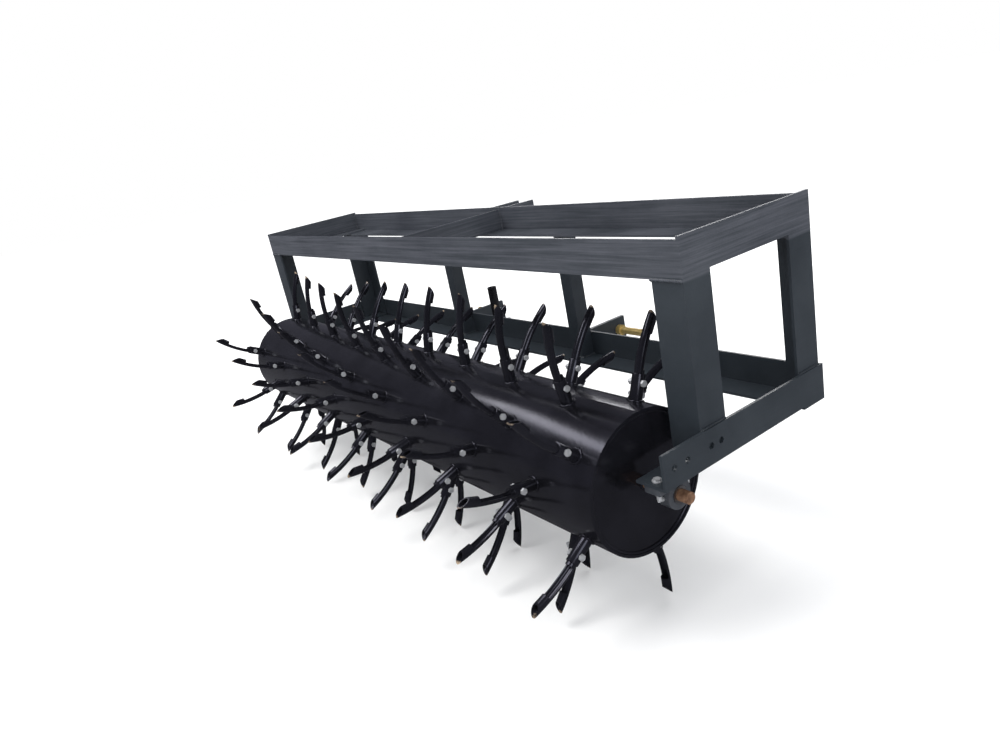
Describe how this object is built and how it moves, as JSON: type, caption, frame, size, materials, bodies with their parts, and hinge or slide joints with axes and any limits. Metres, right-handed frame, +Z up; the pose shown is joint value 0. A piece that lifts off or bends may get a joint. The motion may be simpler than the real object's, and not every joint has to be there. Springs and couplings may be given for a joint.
{
  "type": "drum core aerator",
  "caption": "Tractor-mounted aerator: angle-iron frame with a ballast tray over a free-turning drum of bolted hollow coring spoons, with hitch pins, top-link lugs and a parking stand.",
  "frame": {"origin": "on the ground under the centre of the whole machine's box", "axes": "+X along the drum to the machine's right-hand end as seen in the picture, +Y towards the tractor, +Z up"},
  "size_m": [2.174, 0.962, 0.8422],
  "materials": {
    "frame_paint": "semi-gloss",
    "black_paint": "gloss",
    "yellow_zinc": "yellow passivated zinc",
    "bright_zinc": "bright zinc",
    "bearing_casting": "painted casting",
    "bearing_steel": "ground steel",
    "axle_steel": "bare steel with surface rust"
  },
  "bodies": {
    "frame": {"tray_rail_rear": "frame_paint", "tray_rail_front": "frame_paint", "tray_rail_left": "frame_paint", "tray_rail_right": "frame_paint", "tray_divider": "frame_paint", "corner_post_rear_left": "frame_paint", "corner_post_rear_right": "frame_paint", "corner_post_front_left": "frame_paint", "corner_post_front_right": "frame_paint", "hitch_post_left": "frame_paint", "hitch_post_right": "frame_paint", "side_rail_left": "frame_paint", "side_rail_right": "frame_paint", "front_rail_lower": "frame_paint", "top_link_lug_left": "frame_paint", "top_link_lug_right": "frame_paint", "hitch_plate_left": "frame_paint", "hitch_plate_right": "frame_paint", "stand_sleeve": "frame_paint", "hitch_pin_left": "yellow_zinc", "hitch_pin_right": "yellow_zinc", "hitch_pin_nuts": "bright_zinc", "stand_clamp_bolt": "bright_zinc", "bearing_bolts": "bright_zinc", "bearing_nuts": "bright_zinc", "bearing_housing_left": "bearing_casting", "bearing_housing_right": "bearing_casting"},
    "drum": {"axle": "axle_steel", "bearing_inner_rings": "bearing_steel", "drum_shell": "black_paint", "drum_ends": "black_paint", "tine_row_01": "black_paint", "tine_row_02": "black_paint", "tine_row_03": "black_paint", "tine_row_04": "black_paint", "tine_row_05": "black_paint", "tine_row_06": "black_paint", "tine_row_07": "black_paint", "tine_row_08": "black_paint", "tine_row_09": "black_paint", "tine_row_10": "black_paint"},
    "stand": {"stand_leg": "black_paint", "stand_foot": "black_paint"}
  },
  "joints": [
    {"name": "drum_spin", "type": "hinge", "parent": "frame", "child": "drum", "pos_m": [0, -0.13237, 0.34975], "axis": [1, 0, 0], "continuous": true},
    {"name": "stand_slide", "type": "slide", "parent": "frame", "child": "stand", "axis": [0, 0, 1], "range_m": [0, 0.25]}
  ]
}
